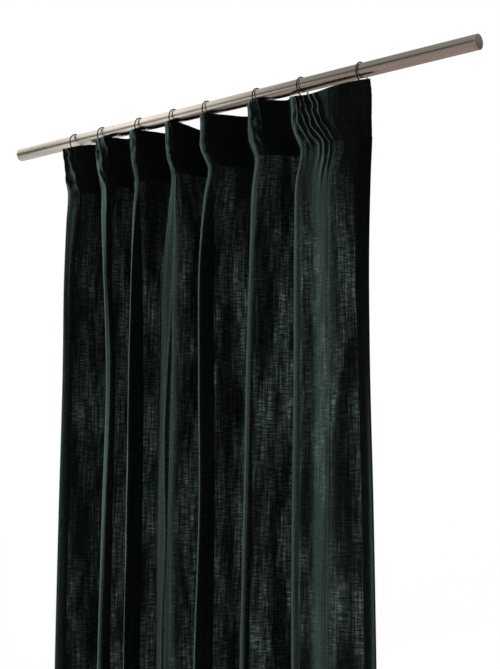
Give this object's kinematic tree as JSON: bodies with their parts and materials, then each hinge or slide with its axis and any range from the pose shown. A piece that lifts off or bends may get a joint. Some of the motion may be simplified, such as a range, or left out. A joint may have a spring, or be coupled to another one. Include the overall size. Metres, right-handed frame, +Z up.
{
  "type": "curtain panel",
  "caption": "Semi-sheer curtain panel in deep folds, hung by wire rings and pin hooks from a straight metal rod; it slides, gathers and swings.",
  "frame": {"origin": "centre of the rod's left end face, on the rod's axis", "axes": "+X along the rod from its left end to its right end, +Y towards the wall or window, +Z up"},
  "size_m": [1.075, 0.0761, 2.1632],
  "materials": {
    "rod_nickel": "satin nickel plate, fine brushing round the tube",
    "plug_nickel": "satin nickel plate",
    "ring_wire": "dark oxidised wire, lightly worn where it slides",
    "hook_steel": "bright drawn wire",
    "face_linen": "open slub weave, semi-sheer, near black with a green cast",
    "heading_linen": "the same slub weave, doubled and opaque",
    "hem_linen": "the same slub weave, turned and sewn",
    "heading_webbing": "firm narrow woven tape",
    "sewing_thread": "matching polyester thread"
  },
  "bodies": {
    "rod": {"rod_tube": "rod_nickel", "left_end_plug": "plug_nickel", "right_end_plug": "plug_nickel"},
    "ring_1": {"ring_1": "ring_wire"},
    "ring_2": {"ring_2": "ring_wire"},
    "ring_3": {"ring_3": "ring_wire"},
    "ring_4": {"ring_4": "ring_wire"},
    "ring_5": {"ring_5": "ring_wire"},
    "ring_6": {"ring_6": "ring_wire"},
    "ring_7": {"ring_7": "ring_wire"},
    "ring_8": {"ring_8": "ring_wire"},
    "drape": {"face_cloth": "face_linen", "heading_facing": "heading_linen", "heading_tape": "heading_webbing", "bottom_hem": "hem_linen", "left_side_hem": "hem_linen", "right_side_hem": "hem_linen", "heading_stitch": "sewing_thread", "bottom_hem_stitch": "sewing_thread", "left_side_stitch": "sewing_thread", "right_side_stitch": "sewing_thread", "hook_8": "hook_steel"},
    "hook_1": {"hook_1": "hook_steel"},
    "hook_2": {"hook_2": "hook_steel"},
    "hook_3": {"hook_3": "hook_steel"},
    "hook_4": {"hook_4": "hook_steel"},
    "hook_5": {"hook_5": "hook_steel"},
    "hook_6": {"hook_6": "hook_steel"},
    "hook_7": {"hook_7": "hook_steel"}
  },
  "joints": [
    {"name": "traverse", "type": "slide", "parent": "rod", "child": "ring_8", "axis": [1, 0, 0], "range_m": [-0.13, 0.17]},
    {"name": "swing", "type": "hinge", "parent": "ring_8", "child": "drape", "pos_m": [0.8572, 0, -0.0262], "axis": [1, 0, 0], "range_deg": [-15, 15]},
    {"name": "draw", "type": "slide", "parent": "ring_8", "child": "ring_1", "axis": [1, 0, 0], "range_m": [0, 0.4475], "deforming": ["face_cloth", "heading_facing", "heading_tape", "bottom_hem", "left_side_hem", "right_side_hem", "heading_stitch", "bottom_hem_stitch", "left_side_stitch", "right_side_stitch"]},
    {"name": "ring_2_follows", "type": "slide", "parent": "ring_8", "child": "ring_2", "axis": [1, 0, 0], "range_m": [0, 0.3968]},
    {"name": "ring_3_follows", "type": "slide", "parent": "ring_8", "child": "ring_3", "axis": [1, 0, 0], "range_m": [0, 0.3304]},
    {"name": "ring_4_follows", "type": "slide", "parent": "ring_8", "child": "ring_4", "axis": [1, 0, 0], "range_m": [0, 0.2726]},
    {"name": "ring_5_follows", "type": "slide", "parent": "ring_8", "child": "ring_5", "axis": [1, 0, 0], "range_m": [0, 0.2191]},
    {"name": "ring_6_follows", "type": "slide", "parent": "ring_8", "child": "ring_6", "axis": [1, 0, 0], "range_m": [0, 0.1432]},
    {"name": "ring_7_follows", "type": "slide", "parent": "ring_8", "child": "ring_7", "axis": [1, 0, 0], "range_m": [0, 0.0798]},
    {"name": "hook_1_follows", "type": "slide", "parent": "drape", "child": "hook_1", "axis": [1, 0, 0], "range_m": [0, 0.448]},
    {"name": "hook_2_follows", "type": "slide", "parent": "drape", "child": "hook_2", "axis": [1, 0, 0], "range_m": [0, 0.3968]},
    {"name": "hook_3_follows", "type": "slide", "parent": "drape", "child": "hook_3", "axis": [1, 0, 0], "range_m": [0, 0.3304]},
    {"name": "hook_4_follows", "type": "slide", "parent": "drape", "child": "hook_4", "axis": [1, 0, 0], "range_m": [0, 0.2726]},
    {"name": "hook_5_follows", "type": "slide", "parent": "drape", "child": "hook_5", "axis": [1, 0, 0], "range_m": [0, 0.2191]},
    {"name": "hook_6_follows", "type": "slide", "parent": "drape", "child": "hook_6", "axis": [1, 0, 0], "range_m": [0, 0.1432]},
    {"name": "hook_7_follows", "type": "slide", "parent": "drape", "child": "hook_7", "axis": [1, 0, 0], "range_m": [0, 0.0798]}
  ],
  "couplings": [
    {"joint": "ring_2_follows", "follows": "draw", "ratio": 0.88569},
    {"joint": "ring_3_follows", "follows": "draw", "ratio": 0.73725},
    {"joint": "ring_4_follows", "follows": "draw", "ratio": 0.60813},
    {"joint": "ring_5_follows", "follows": "draw", "ratio": 0.4886},
    {"joint": "ring_6_follows", "follows": "draw", "ratio": 0.31881},
    {"joint": "ring_7_follows", "follows": "draw", "ratio": 0.1772},
    {"joint": "hook_1_follows", "follows": "draw", "ratio": 1},
    {"joint": "hook_2_follows", "follows": "draw", "ratio": 0.88569},
    {"joint": "hook_3_follows", "follows": "draw", "ratio": 0.73725},
    {"joint": "hook_4_follows", "follows": "draw", "ratio": 0.60813},
    {"joint": "hook_5_follows", "follows": "draw", "ratio": 0.4886},
    {"joint": "hook_6_follows", "follows": "draw", "ratio": 0.31881},
    {"joint": "hook_7_follows", "follows": "draw", "ratio": 0.1772}
  ]
}
